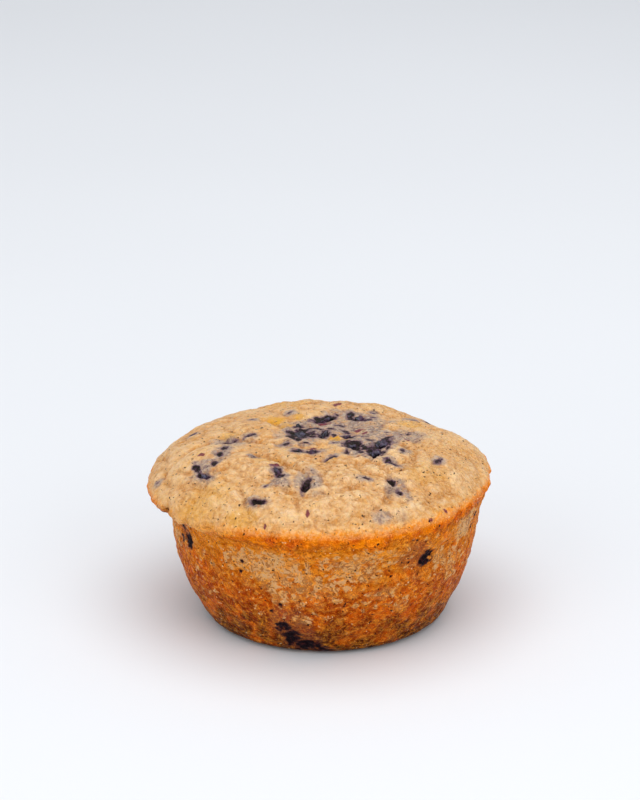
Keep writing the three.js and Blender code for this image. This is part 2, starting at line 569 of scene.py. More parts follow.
def top_shape(angle, reach):
    """Radius and height of the domed top, at a share of the way from its middle to the lip"""
    rim = lip_radius(angle)
    x = reach * rim * np.cos(angle)
    y = reach * rim * np.sin(angle)
    inset = np.maximum(0, LIP_ROUNDING - rim * (1 - reach))
    corner = np.sqrt(LIP_ROUNDING**2 - inset**2)
    dome = (DOME_RISE - LIP_ROUNDING) * (1 - reach**DOME_POWER)
    height = LIP_HEIGHT + (lip_height(angle) - LIP_HEIGHT) * reach**LIP_WAVE_FADE + corner + dome
    for degrees, distance, rise, width in SWELLS:
        dx = x - distance * math.cos(math.radians(degrees))
        dy = y - distance * math.sin(math.radians(degrees))
        height += rise * np.exp(-(dx**2 + dy**2) / width**2) * (1 - reach**SWELL_FADE)
    return reach * rim, height


def base_shape(angle, share):
    """Points of the smooth baked shape at an angle, a share of the way from the foot's middle to the top's"""
    side_radius, height = side_shape(angle, np.clip((share - FOOT_SHARE) / (LIP_SHARE - FOOT_SHARE), 0, 1))
    top_radius, top_height = top_shape(angle, np.clip((1 - share) / (1 - LIP_SHARE), 0, 1))
    radius = np.where(share > FOOT_SHARE, side_radius, FOOT_RADIUS * np.clip(share / FOOT_SHARE, 0, 1))
    radius = np.where(share > LIP_SHARE, top_radius, radius)
    height = np.where(share > FOOT_SHARE, height, 0)
    height = np.where(share > LIP_SHARE, top_height, height)
    shift = LEAN * (1 - smooth(LIP_HEIGHT - LEAN_FADE, LIP_HEIGHT, height))
    return np.stack([radius * np.cos(angle) + shift, radius * np.sin(angle), height], axis=1)


def triangle_grid(parts):
    """Steps along two edges of a triangle to each point of a grid that fills it, and the grid's triangles"""
    grid = [(i, j) for i in range(parts + 1) for j in range(parts + 1 - i)]
    number = {step: n for n, step in enumerate(grid)}
    triangles = []
    for i, j in grid:
        if i + j < parts:
            triangles.append((number[i, j], number[i + 1, j], number[i, j + 1]))
        if i + j < parts - 1:
            triangles.append((number[i + 1, j], number[i + 1, j + 1], number[i, j + 1]))
    return np.array(grid), np.array(triangles)


def geodesic_sphere(parts):
    """Points and triangles of an icosahedron whose edges are cut into `parts`, swelled to a unit sphere"""
    solid = bmesh.new()
    bmesh.ops.create_icosphere(solid, subdivisions=1, radius=1)
    faces = [[np.array(vertex.co) for vertex in face.verts] for face in solid.faces]
    solid.free()
    grid, local = triangle_grid(parts)
    share = grid / parts
    points = np.concatenate([a + (b - a) * share[:, :1] + (c - a) * share[:, 1:] for a, b, c in faces])
    triangles = np.concatenate([local + n * len(grid) for n in range(len(faces))])
    # Neighbouring faces share the points of their edge
    _, first, joined = np.unique(np.round(points, 5), axis=0, return_index=True, return_inverse=True)
    points = points[first]
    points /= np.linalg.norm(points, axis=1, keepdims=True)
    return points, joined.reshape(-1)[triangles]


def normals_of(points, triangles):
    """Outward unit normals of the points of a closed mesh"""
    a, b, c = (points[triangles[:, n]] for n in range(3))
    face = np.cross(b - a, c - a)
    total = np.zeros_like(points)
    for n in range(3):
        np.add.at(total, triangles[:, n], face)
    return total / np.linalg.norm(total, axis=1, keepdims=True)


def neighbour_mean(values, triangles, rounds):
    """The values averaged with those of the neighbouring points, again and again"""
    start = triangles.ravel()
    end = np.roll(triangles, -1, axis=1).ravel()
    count = np.bincount(start, minlength=len(values))
    for _ in range(rounds):
        values = 0.5 * values + 0.5 * np.bincount(start, values[end], minlength=len(values)) / count
    return values


class Surface:
    """The points of the smooth baked shape, and where each of them lies on it"""

    def __init__(self):
        sphere, self.triangles = geodesic_sphere(CRUST_PARTS)
        self.angle = np.arctan2(sphere[:, 1], sphere[:, 0]) % (2 * math.pi)
        self.share = 0.5 + np.arcsin(np.clip(sphere[:, 2], -1, 1)) / math.pi
        self.base = base_shape(self.angle, self.share)
        self.x, self.y, self.height = self.base.T
        self.below_lip = lip_height(self.angle) - self.height
        self.inward = np.clip((self.share - LIP_SHARE) / (1 - LIP_SHARE), 0, 1) * LIP_RADIUS
        self.top = smooth(LIP_SHARE - 0.004, LIP_SHARE + 0.008, self.share)
        self.ragged = 0.75 * cloud(self.base, 1.5, 3, 11)
        self.spilled = near_angle(self.angle, *PALE_LIP)


# ---- Marks ----

HALO_MARGIN = 1.8
HALO_STRENGTH = 0.8


def blob(x, y, mark, ragged, soft):
    """1 inside an irregular oval given as x, y, length, width, turn, falling to 0 outside it"""
    centre_x, centre_y, length, width, turn = mark[:5]
    cos = math.cos(math.radians(turn))
    sin = math.sin(math.radians(turn))
    dx = x - centre_x
    dy = y - centre_y
    along = (dx * cos + dy * sin) / (length / 2)
    across = (dy * cos - dx * sin) / (width / 2)
    distance = np.hypot(along, across) + ragged
    return smooth(1 + soft, 1 - soft, distance)


def side_blob(at, mark, ragged, soft):
    """The same for a mark of the side, whose middle is given as an angle in degrees and a height"""
    turn = (at.angle - math.radians(mark[0]) + math.pi) % (2 * math.pi) - math.pi
    return blob(turn * SIDE_RADIUS, at.height - mark[1], (0, 0) + tuple(mark[2:5]), ragged, soft)


def distance_to_line(x, y, line):
    """Distance from each point to a line through several points"""
    nearest = np.full(len(x), np.inf)
    for (ax, ay), (bx, by) in zip(line, line[1:]):
        length = (bx - ax) ** 2 + (by - ay) ** 2
        t = np.clip(((x - ax) * (bx - ax) + (y - ay) * (by - ay)) / length, 0, 1)
        nearest = np.minimum(nearest, np.hypot(x - ax - t * (bx - ax), y - ay - t * (by - ay)))
    return nearest


def widened(mark):
    """The same mark with a margin all round it"""
    return mark[0], mark[1], mark[2] + HALO_MARGIN, mark[3] + HALO_MARGIN, mark[4]


def fruit_strength(mark):
    """Deep fruit shows darker"""
    return min(1.25, 0.5 + mark[5])


def strongest(values):
    return np.maximum.reduce(list(values))


def top_marks(at, loose):
    """How strongly each kind of mark shows at each point of the top"""
    x, y, ragged = at.x, at.y, at.ragged
    marks = {
        "fruit": strongest(blob(x, y, mark, ragged, 0.5) * fruit_strength(mark) for mark in TOP_FRUIT),
        "depth": strongest(blob(x, y, mark, 0.5 * ragged, 0.6) * mark[5] for mark in TOP_FRUIT),
        "stain": strongest(blob(x, y, mark, loose, 0.6) * mark[5] for mark in TOP_STAINS),
        "flesh": strongest(blob(x, y, mark, ragged, 0.6) for mark in TOP_FLESH),
        "gold": strongest(blob(x, y, mark, 0.7 * ragged, 0.5) * mark[5] for mark in TOP_GOLD),
    }
    halo = strongest(blob(x, y, widened(mark), loose, 0.7) for mark in TOP_FRUIT)
    marks["stain"] = np.maximum(marks["stain"], HALO_STRENGTH * halo)
    return {name: values * at.top for name, values in marks.items()}


def side_marks(at, loose):
    """The same for the side"""
    torn = 1.4 * at.ragged + 0.5 * cloud(at.base, 0.9, 2, 14)
    marks = {
        "fruit": strongest(side_blob(at, mark, torn, 0.5) for mark in SIDE_FRUIT),
        "depth": strongest(side_blob(at, mark, 0.5 * at.ragged, 0.5) * mark[5] for mark in SIDE_FRUIT),
        "stain": strongest(side_blob(at, mark, loose, 0.6) * mark[5] for mark in SIDE_STAINS),
        "pale": strongest(side_blob(at, mark, loose, 0.6) * mark[5] for mark in SIDE_PALE),
    }
    return {name: values * (1 - at.top) for name, values in marks.items()}


def all_marks(at):
    """The marks of the top and of the side together, and the juice of the top on its own"""
    loose = 0.9 * cloud(at.base, 3.6, 3, 21)
    top = top_marks(at, loose)
    side = side_marks(at, loose)
    both = {name: np.maximum(top[name], side[name]) for name in ("fruit", "depth", "stain")}
    return {**top, **side, **both, "juice": smooth(0.15, 0.85, top["stain"])}


# ---- Relief ----

LOBE_SIZE = 10.0
LUMP_SIZE = 4.4
LUMP_RISE = 0.42
CURD_SIZE = 1.6
CURD_RISE = 0.55
GRAIN_SIZE = 1.4
GRAIN_RISE = 0.20
BUBBLE_SPACING = 1.3
BUBBLE_DEPTH = 0.22
BUBBLES_LEFT_OUT = 0.72
# Lumps rise and sink about this height of theirs
MEAN_LUMP = 0.7
TOP_THICKNESS = 0.3

PORE_SPACING = 1.7
PORE_DEPTH = 0.38
SKIN_FOLD_SIZE = 2.1
SKIN_FOLD_RISE = 0.26
SWIRL_RISE = 0.16

FRUIT_SINKS = 0.8
FRUIT_STANDS_OUT = 0.12


def curdled_share(at):
    """1 where the top is curdled, in the front half and in patches, and 0 where it is smooth"""
    front = np.exp(-((at.x - 3) ** 2 / 22**2 + (at.y + 20) ** 2 / 12**2))
    patches = 0.5 * smooth(0, 0.4, cloud(at.base, 7.0, 2, 64))
    return np.minimum(front + patches, 1.0)


def crease_depth(at):
    """Depth of the top's creases, whose lines wander a little"""
    wander = 1.2 * at.ragged
    return sum(
        deep * np.exp(-(((distance_to_line(at.x, at.y, line) + wander) / wide) ** 2))
        for line, deep, wide in TOP_CREASES
    )


def broad_lumps(at):
    return sum(
        rise * np.exp(-((at.x - east) ** 2 + (at.y - north) ** 2) / wide**2)
        for east, north, rise, wide in TOP_LUMPS
    )


def top_relief(at):
    """Height of the top's lobes, curds, creases and burst bubbles, and how creased each point is"""
    lobes = billows(at.base, LOBE_SIZE, 31)
    lumps = billows(at.base, LUMP_SIZE, 41)
    curds, curd_gap = cobbles(at.base, CURD_SIZE, 51)
    curdled = curdled_share(at)
    lumpy = 0.4 + 0.6 * curdled
    crease = crease_depth(at)
    near, _, name = cells(at.base, BUBBLE_SPACING, 71)
    bubble = smooth(0.30, 0.12, near) * (name > BUBBLES_LEFT_OUT)
    # The relief fades out at the lip and is weaker at the back
    away = smooth(0.3, 3.5, at.inward) * (1 - 0.45 * smooth(4, 20, at.y))
    curd_share = (0.15 + 0.85 * curdled) * smooth(0.2, 1.6, at.inward)
    relief = (
        broad_lumps(at)
        + away * (lobes - MEAN_LUMP)
        + away * lumpy * LUMP_RISE * (lumps - MEAN_LUMP)
        + curd_share * CURD_RISE * (curds - MEAN_LUMP)
        + GRAIN_RISE * cloud(at.base, GRAIN_SIZE, 2, 81)
        - crease * away
        - BUBBLE_DEPTH * bubble
        + TOP_THICKNESS * away
    )
    folds = 0.6 * smooth(0.45, 0.1, lobes) + 0.3 * lumpy * smooth(0.4, 0.1, lumps)
    creased = np.clip(folds + 0.4 * curd_gap * curdled + 1.1 * crease, 0, 1)
    return relief, creased


def side_relief(at):
    """Height of the side's waves, swirled skin and torn pores, and the swirl's and the folds' ridges"""
    waves = 0.32 * cloud(at.base, 6.0, 2, 101)
    swirl = 1 - 2.2 * np.abs(cloud(warped(at.base, 2.4, 1.8, 111), 2.2, 2, 114))
    folds = billows(at.base * [1, 1, 1.2], SKIN_FOLD_SIZE, 121)
    near, _, name = cells(warped(at.base, 1.5, 0.5, 131), PORE_SPACING, 134)
    pore = smooth(0.34, 0.14, near) * (name > BUBBLES_LEFT_OUT)
    fine = SWIRL_RISE * (swirl - 0.4) + SKIN_FOLD_RISE * (folds - MEAN_LUMP)
    fine = fine + 0.07 * cloud(at.base, 1.0, 2, 141) - PORE_DEPTH * pore
    smoothed_by_the_tin = 0.45 + 0.55 * smooth(8, 18, at.height)
    return waves + fine * smoothed_by_the_tin, swirl, folds


def flare_bulge(at):
    """Height of the low bulge under the front of the lip"""
    middle, width, rise, half_height, below = FLARE_BULGE
    return rise * np.exp(-(((at.below_lip - below) / half_height) ** 2)) * near_angle(at.angle, middle, width)


def lip_relief(at):
    """Height of the uneven band round the lip, with the notches between its lobes"""
    band = np.exp(-(((at.below_lip + 0.2) / 1.5) ** 2))
    uneven = cloud(at.base * [1, 1, 0.3], 4.5, 3, 161)
    degrees = np.degrees(at.angle)
    notch = sum(deep * np.exp(-(((degrees - middle) / width) ** 2)) for middle, width, deep in LIP_NOTCHES)
    return band * (uneven - notch)


def whole_relief(at, marks):
    """Height of all the relief, how creased each point is, and the swirls and folds of the side"""
    crown, creased = top_relief(at)
    skin, swirl, folds = side_relief(at)
    side = (1 - at.top) * smooth(0, 1.6, at.height)
    crumple = 0.5 * np.abs(cloud(warped(at.base, 1.0, 0.5, 151), 1.2, 2, 154))
    relief = at.top * crown + side * (skin + flare_bulge(at)) + lip_relief(at)
    relief = relief - FRUIT_SINKS * marks["depth"] + marks["fruit"] * (crumple + FRUIT_STANDS_OUT)
    return relief, creased, swirl, folds


class Bumps:
    """How far each point stands out of the mean surface round it, which sets where shade and highlights are
    painted
    """

    def __init__(self, relief, triangles):
        detail = relief - neighbour_mean(relief, triangles, 16)
        self.hollow = smooth(0, -0.30, detail)
        self.ridge = smooth(0, 0.20, detail)
        self.broad = neighbour_mean(relief, triangles, 8) - neighbour_mean(relief, triangles, 120)


# ---- Colour of the crust ----


def top_colour(at, bumps, creased):
    """Pale gold crumb, orange at the very edge, with painted shade in its creases, hollows and dips and
    painted highlights on its ridges and lobes
    """
    blotch = cloud(at.base, 8.0, 3, 201)
    speckle = cloud(warped(at.base, 1.4, 0.6, 204), 1.5, 3, 208)
    ochre = smooth(0.15, 0.5, cloud(at.base, 3.5, 3, 214))
    browned = 1.2 * (0.5 + 0.8 * near_angle(at.angle, *BROWNED_EDGE))
    browning = smooth(browned, 0.2, at.inward + 0.8 * speckle) * (1 - 0.85 * at.spilled)
    coats = [
        (srgb(208, 148, 86), smooth(-0.35, 0.4, blotch)),
        (srgb(230, 168, 88), 0.5 * ochre),
        # Painted highlight on the broad lobes and painted shade in the broad dips
        (srgb(242, 204, 156), 0.28 * smooth(0, 0.3, bumps.broad)),
        (srgb(196, 134, 70), 0.55 * smooth(0, -0.4, bumps.broad)),
        # Painted highlight on the ridges, painted shade in the creases and in the hollows
        (srgb(246, 216, 180), 0.45 * bumps.ridge),
        (srgb(192, 124, 52), 0.55 * creased),
        (srgb(150, 92, 40), 0.5 * bumps.hollow),
        (srgb(222, 156, 80), 0.4 * smooth(3.0, 0.6, at.inward + 2.5 * speckle)),
        (srgb(246, 146, 22), 0.95 * browning),
    ]
    return painted(CRUMB_PALE, coats)


def side_colour(at, bumps, pale, swirl):
    """A glazed skin, deeper brown towards the foot, with a bright band at the lip, painted highlights on its
    swirl ridges and ridges and painted shade in its hollows
    """
    blotch = cloud(at.base, 9.0, 3, 221)
    speckle = cloud(warped(at.base, 1.6, 0.9, 224), 2.0, 3, 228)
    tone = at.height + 4 * blotch + 7.0 * speckle
    patch = cloud(warped(at.base, 3.0, 1.2, 234), 3.6, 2, 238)
    into_band = at.below_lip + 2.4 * speckle + 1.2 * blotch + 1.6 * at.spilled
    glow = mix(BAND_BRIGHT, BAND_DEEP, smooth(-0.3, 0.4, cloud(at.base, 3.0, 2, 231)))
    coats = [
        (srgb(162, 60, 0), smooth(1, 15, tone + 4 * patch)),
        (srgb(204, 112, 10), smooth(13, 26, tone)),
        (srgb(222, 96, 0), 0.5 * smooth(0, 0.4, patch)),
        (srgb(210, 150, 88), 0.55 * smooth(0.1, 0.8, pale + 0.5 * speckle - 0.5 * patch)),
        # Painted highlight on the swirl's ridges
        (srgb(232, 150, 50), 0.4 * smooth(0.7, 0.98, swirl)),
        (srgb(156, 66, 0), 0.3 * smooth(0.25, -0.3, swirl)),
        # Painted highlight on the ridges and painted shade in the hollows
        (srgb(236, 170, 90), 0.3 * bumps.ridge),
        (srgb(104, 40, 0), 0.6 * bumps.hollow),
        (srgb(50, 18, 2), 0.9 * smooth(2.6, 0.2, at.height + 2.6 * speckle)),
        (glow, 0.95 * smooth(1.9, 1.1, into_band)),
        (srgb(150, 54, 0), 0.65 * np.exp(-(((into_band - 2.2) / 0.5) ** 2))),
        (srgb(222, 192, 150), 0.8 * smooth(0.8, 1.1, pale + 0.4 * speckle)),
    ]
    return painted(FOOT_BROWN, coats)


def stained(at, bumps, colour, stain):
    """The colour soaked with juice: grey to purple on the top, brown on the side, with painted shade in the
    hollows
    """
    depth = smooth(-0.1, 0.45, cloud(at.base, 2.4, 3, 171))
    juice = mix(0.35 * colour + 0.65 * JUICE_BROWN, mix(JUICE_GREY, JUICE_PURPLE, depth), at.top)
    # Painted shade: the soaked colour is darker in the hollows
    soaked = 0.15 * colour + 0.85 * juice * (1 - 0.5 * bumps.hollow[:, None])
    return mix(colour, soaked, smooth(0.1, 0.75, stain))


def crust_colour(at, bumps, marks, creased, swirl):
    """The colour of the whole crust; where pale batter ran over the lip it has the colour of the top"""
    crown = top_colour(at, bumps, creased)
    skin = side_colour(at, bumps, marks["pale"], swirl)
    spill = smooth(0.5, -0.5, at.below_lip - 1.8 * at.spilled + 1.2 * at.ragged)
    colour = mix(skin, crown, np.maximum(at.top, spill * smooth(0.1, 0.4, at.spilled)))
    return np.clip(stained(at, bumps, colour, marks["stain"]), 0, 1)


def bare_share(at, pale, folds):
    """How much crumb shows through the side's skin: on its ridges, but not at the lip or low down"""
    at_lip = smooth(3.0, 1.4, at.below_lip)
    low_down = smooth(13, 4, at.height)
    return pale + 0.9 * (folds - 0.65) - 0.4 * at_lip - 0.6 * low_down


def crust():
    """The whole baked surface, as one closed mesh with its colour and its marks stored on the points"""
    at = Surface()
    marks = all_marks(at)
    relief, creased, swirl, folds = whole_relief(at, marks)
    points = at.base + normals_of(at.base, at.triangles) * relief[:, None]
    points[:, 2] = np.where(at.share < FOOT_SHARE, 0, np.maximum(points[:, 2], 0))
    bumps = Bumps(relief, at.triangles)
    layers = {
        "tint": crust_colour(at, bumps, marks, creased, swirl),
        "fruit": marks["fruit"],
        "top": at.top,
        "pale": bare_share(at, marks["pale"], folds),
        "flesh": marks["flesh"],
        "juice": marks["juice"],
        "gold": marks["gold"],
    }
    return points * MM, at.triangles, layers


# ---- Fruit ----

CHUNK_LEAST_WIDTH = 1.4
CHUNK_DEEPEST = 1.25
CHUNK_THICKNESS = 0.5
CHUNK_THICKEST_AT = 2.4
# Half the length and width of a piece, as shares of its mark, before it is crumpled
CHUNK_HALF_LENGTH = 0.29
CHUNK_HALF_WIDTH = 0.30
CHUNK_STEP = 0.5
CHUNK_SEED = 300
CHUNK_SEED_STEP = 20


def top_point(x, y):
    """The point of the smooth top above x, y"""
    angle = np.array([math.atan2(y, x) % (2 * math.pi)])
    reach = math.hypot(x, y) / lip_radius(angle)
    return base_shape(angle, 1 - reach * (1 - LIP_SHARE))[0]


def directions_at(centre, x, y, turn):
    """Along, across and upright directions of a piece that lies turned on the top"""
    eastward = top_point(x + CHUNK_STEP, y) - centre
    northward = top_point(x, y + CHUNK_STEP) - centre
    upright = np.cross(eastward, northward)
    upright /= np.linalg.norm(upright)
    eastward /= np.linalg.norm(eastward)
    northward = np.cross(upright, eastward)
    cos = math.cos(math.radians(turn))
    sin = math.sin(math.radians(turn))
    return np.array([cos * eastward + sin * northward, cos * northward - sin * eastward, upright])


def chunk(mark, seed):
    """A closed, crumpled piece of cooked fruit that lies sunk in the top"""
    x, y, length, width, turn, depth = mark
    sphere, triangles = geodesic_sphere(CHUNK_PARTS)
    crumple = 1 + 1.2 * perlin(sphere, 0.9, seed) + 0.45 * (billows(sphere, 0.6, seed + 9) - 0.6)
    thickness = CHUNK_THICKNESS * min(width, CHUNK_THICKEST_AT)
    size = np.array([CHUNK_HALF_LENGTH * length, CHUNK_HALF_WIDTH * width, thickness])
    centre = top_point(x, y)
    directions = directions_at(centre, x, y, turn)
    sunk = centre - directions[2] * (0.75 * depth + 0.55 * thickness)
    return sunk + (sphere * crumple[:, None] * size) @ directions, triangles


def chunks():
    """All the larger pieces of fruit in the top, as one set of points and triangles"""
    points = []
    triangles = []
    count = 0
    for n, mark in enumerate(TOP_FRUIT):
        if mark[3] < CHUNK_LEAST_WIDTH or mark[5] > CHUNK_DEEPEST:
            continue
        piece, faces = chunk(mark, CHUNK_SEED + CHUNK_SEED_STEP * n)
        points.append(piece)
        triangles.append(faces + count)
        count += len(piece)
    return np.concatenate(points) * MM, np.concatenate(triangles)


# ---- Materials ----

MIX_SHARE, MIX_FIRST, MIX_SECOND, MIX_RESULT = 0, 6, 7, 2
WOBBLE_SCALE = 1800
WOBBLE = (0.0012, 0.0012, 0.0012)


class Nodes:
    """Small helper that adds shader nodes and links them"""

    def __init__(self, name):
        self.material = bpy.data.materials.new(name)
        self.material.use_nodes = True
        self.tree = self.material.node_tree
        self.shader = self.tree.nodes["Principled BSDF"]

    def add(self, kind, **settings):
        node = self.tree.nodes.new("ShaderNode" + kind)
        for name, value in settings.items():
            if hasattr(node, name):
                setattr(node, name, value)
            else:
                node.inputs[name.replace("_", " ").title()].default_value = value
        return node

    def link(self, output, target):
        self.tree.links.new(output, target)

    def give(self, target, value):
        """Sets a socket to a number or a colour, or links it"""
        if isinstance(value, (int, float)):
            target.default_value = value
        elif isinstance(value, (tuple, np.ndarray)):
            target.default_value = (*value, 1.0)
        else:
            self.link(value, target)

    def stored(self, name):
        """A number that the mesh stores on its points"""
        return self.add("Attribute", attribute_name=name).outputs["Fac"]

    def coordinates(self):
        if "place" not in self.tree.nodes:
            self.add("TexCoord").name = "place"
        return self.tree.nodes["place"].outputs["Object"]

    def wobbly_coordinates(self):
        """The coordinates pushed about by fine noise, so that round things come out irregular"""
        if "wobble" not in self.tree.nodes:
            push = self.add("TexNoise", scale=WOBBLE_SCALE)
            self.link(self.coordinates(), push.inputs["Vector"])
            wobble = self.add("VectorMath", operation="MULTIPLY_ADD")
            wobble.name = "wobble"
            self.link(push.outputs["Color"], wobble.inputs[0])
            wobble.inputs[1].default_value = WOBBLE
            self.link(self.coordinates(), wobble.inputs[2])
        return self.tree.nodes["wobble"].outputs["Vector"]

    def noise(self, scale, detail=2.0, distortion=0.0):
        """Soft noise from 0 to 1, with its scale in waves per metre"""
        node = self.add("TexNoise", scale=scale, detail=detail, distortion=distortion)
        self.link(self.coordinates(), node.inputs["Vector"])
        return node.outputs["Fac"]

    def remap(self, value, low, high, to_low=0.0, to_high=1.0):
        """Eases a value from one range to another; low may be the larger"""
        node = self.add("MapRange", interpolation_type="SMOOTHSTEP")
        self.link(value, node.inputs["Value"])
        for name, number in zip(("From Min", "From Max", "To Min", "To Max"), (low, high, to_low, to_high)):
            node.inputs[name].default_value = number
        return node.outputs["Result"]

    def math(self, operation, first, second):
        node = self.add("Math", operation=operation)
        self.give(node.inputs[0], first)
        self.give(node.inputs[1], second)
        return node.outputs["Value"]

    def times(self, first, second):
        return self.math("MULTIPLY", first, second)

    def plus(self, first, second):
        return self.math("ADD", first, second)

    def blend(self, share, first, second, mode="MIX"):
        node = self.add("Mix", data_type="RGBA", blend_type=mode)
        self.give(node.inputs[MIX_SHARE], share)
        self.give(node.inputs[MIX_FIRST], first)
        self.give(node.inputs[MIX_SECOND], second)
        return node.outputs[MIX_RESULT]

    def near_level(self, value, level, width):
        """1 where a noise is at a level, falling to 0 at a width from it: thin winding lines"""
        return self.remap(self.math("ABSOLUTE", self.math("SUBTRACT", value, level), 0), width, 0)

    def surface(self, colour, roughness, specular):
        """Sets the shader's main sockets"""
        self.give(self.shader.inputs["Base Color"], colour)
        self.give(self.shader.inputs["Roughness"], roughness)
        self.give(self.shader.inputs["Specular IOR Level"], specular)

    def bump(self, height, strength, distance):
        """Bumps the surface by a distance in metres"""
        bump = self.add("Bump")
        bump.inputs["Strength"].default_value = strength
        bump.inputs["Distance"].default_value = distance
        self.link(height, bump.inputs["Height"])
        self.link(bump.outputs["Normal"], self.shader.inputs["Normal"])


def bare_crumb(nodes, tint, side, swirl, curl):
    """Crumb that shows through the side's glazed skin"""
    patches = nodes.plus(nodes.times(swirl, 1.2), nodes.times(nodes.noise(900, 2, 1.0), 0.7))
    bare = nodes.plus(nodes.times(nodes.stored("pale"), 0.5), patches)
    bare = nodes.times(nodes.remap(bare, 1.08, 1.24, 0, 0.9), side)
    crumb = nodes.blend(nodes.remap(curl, 0.35, 0.65), CRUMB_SHADE, CRUMB_LIT)
    return nodes.blend(bare, tint, crumb)


def curled_highlights_and_lines(nodes, tint, side, curl):
    """Thin curled lines on the side, softer ones on the top: light ones that are painted highlights, and dark
    ones
    """
    # Painted highlight: light lines, brighter than the colour under them on the side
    light = nodes.times(nodes.near_level(curl, 0.50, 0.04), nodes.remap(side, 0, 1, 0.2, 0.8))
    brightened = nodes.blend(1.0, tint, PAINTED_GLINT_BRIGHTENS, "MULTIPLY")
    # Painted glint colour of the side's light lines
    glazed = nodes.blend(0.5, brightened, PAINTED_GLINT)
    tint = nodes.blend(light, tint, nodes.blend(side, CURL_PAINTED_HIGHLIGHT, glazed))
    dark = nodes.times(nodes.near_level(curl, 0.40, 0.05), nodes.remap(side, 0, 1, 0.1, 0.45))
    return nodes.blend(dark, tint, CURL_DARK)


def curd_highlights_and_seams(nodes, tint, top, swirl, grain):
    """Painted highlights on the top's fine curds and painted shade in their seams, and the mottling of it all
    """
    # Painted highlight on the curds' tops
    curds = nodes.times(nodes.remap(nodes.noise(1000, 2, 0.8), 0.40, 0.60), nodes.times(top, 0.35))
    tint = nodes.blend(curds, tint, CURD_PAINTED_HIGHLIGHT)
    # Painted shade in the seams between the curds
    seams = nodes.times(nodes.remap(swirl, 0.44, 0.34), nodes.times(top, 0.5))
    tint = nodes.blend(seams, tint, SEAM_PAINTED_SHADE)
    return nodes.blend(nodes.remap(grain, 0.38, 0.68, 0, 0.35), tint, GRAIN_LIGHT, "SOFT_LIGHT")


def juice_and_gold(nodes, tint, swirl, curl):
    """The haze of juice round the fruit of the top, and the golden patches"""
    haze = nodes.times(nodes.stored("juice"), nodes.remap(swirl, 0.38, 0.58, 0, 0.6))
    tint = nodes.blend(haze, tint, nodes.blend(nodes.remap(curl, 0.4, 0.6), HAZE_DARK, HAZE_LIGHT))
    gold = nodes.times(nodes.stored("gold"), nodes.remap(curl, 0.35, 0.6, 0.5, 1.0))
    return nodes.blend(gold, tint, BUTTER_GOLD)


def specks(nodes, tint, scale, left_out, size, colour, strength):
    """Scatters small specks of a colour over the tint"""
    speck = nodes.add("TexVoronoi", scale=scale)
    nodes.link(nodes.wobbly_coordinates(), speck.inputs["Vector"])
    chosen = nodes.remap(speck.outputs["Color"], left_out, left_out + 0.02)
    close = nodes.remap(speck.outputs["Distance"], size, 0.6 * size, 0, strength)
    return nodes.blend(nodes.times(chosen, close), tint, colour)


def red_flesh(nodes, tint, grain):
    """Purple-red flecks of fruit flesh, with ragged edges"""
    red = nodes.plus(nodes.stored("flesh"), nodes.remap(grain, 0.3, 0.7, -0.15, 0.15))
    return nodes.blend(nodes.remap(red, 0.35, 0.85, 0, 0.9), tint, FLESH_RED)


def fruit_in_crumb(nodes, tint, top, curl):
    """Fruit in the crust: a greyish halo in the crumb, purple flesh and a near-black core"""
    ragged = nodes.times(nodes.stored("fruit"), nodes.remap(nodes.noise(1300, 3), 0.3, 0.7, 0.65, 1.35))
    halo = nodes.blend(top, HALO_SIDE, HALO_TOP)
    tint = nodes.blend(nodes.remap(ragged, 0.02, 0.45, 0, 0.8), tint, halo)
    flesh = nodes.blend(nodes.remap(curl, 0.42, 0.6), FLESH_DARK, nodes.blend(top, FLESH_SIDE, FLESH_TOP))
    tint = nodes.blend(nodes.remap(ragged, 0.42, 0.72, 0, 0.95), tint, flesh)
    return nodes.blend(nodes.remap(ragged, 0.72, 1.02), tint, FRUIT_CORE)


def crust_material():
    """Baked crumb: pale and dull on the top, glazed and curled on the side, with painted highlights and
    painted shade
    """
    nodes = Nodes("crust")
    tint = nodes.add("Attribute", attribute_name="tint").outputs["Color"]
    top = nodes.stored("top")
    side = nodes.math("SUBTRACT", 1.0, top)
    swirl = nodes.noise(420, 3, 1.3)
    curl = nodes.noise(760, 3, 1.6)
    grain = nodes.noise(1500, 3)
    tint = bare_crumb(nodes, tint, side, swirl, curl)
    tint = curled_highlights_and_lines(nodes, tint, side, curl)
    tint = curd_highlights_and_seams(nodes, tint, top, swirl, grain)
    tint = juice_and_gold(nodes, tint, swirl, curl)
    # The first specks are painted glints
    for speck in SPECKS:
        tint = specks(nodes, tint, *speck)
    tint = red_flesh(nodes, tint, grain)
    tint = fruit_in_crumb(nodes, tint, top, curl)
    roughness = nodes.remap(nodes.noise(700, 3), 0.35, 0.7, 0.58, 0.3)
    nodes.surface(tint, roughness, specular=nodes.remap(top, 0, 1, 0.05, 0.32))
    nodes.bump(nodes.plus(nodes.times(curl, 0.6), nodes.times(grain, 0.4)), strength=1.0, distance=0.0011)
    nodes.shader.inputs["Specular Tint"].default_value = (1.0, 0.8, 0.5, 1.0)
    nodes.shader.inputs["Subsurface Weight"].default_value = 0.1
    nodes.shader.inputs["Subsurface Radius"].default_value = (1.0, 0.5, 0.2)
    nodes.shader.inputs["Subsurface Scale"].default_value = 0.001
    return nodes.material


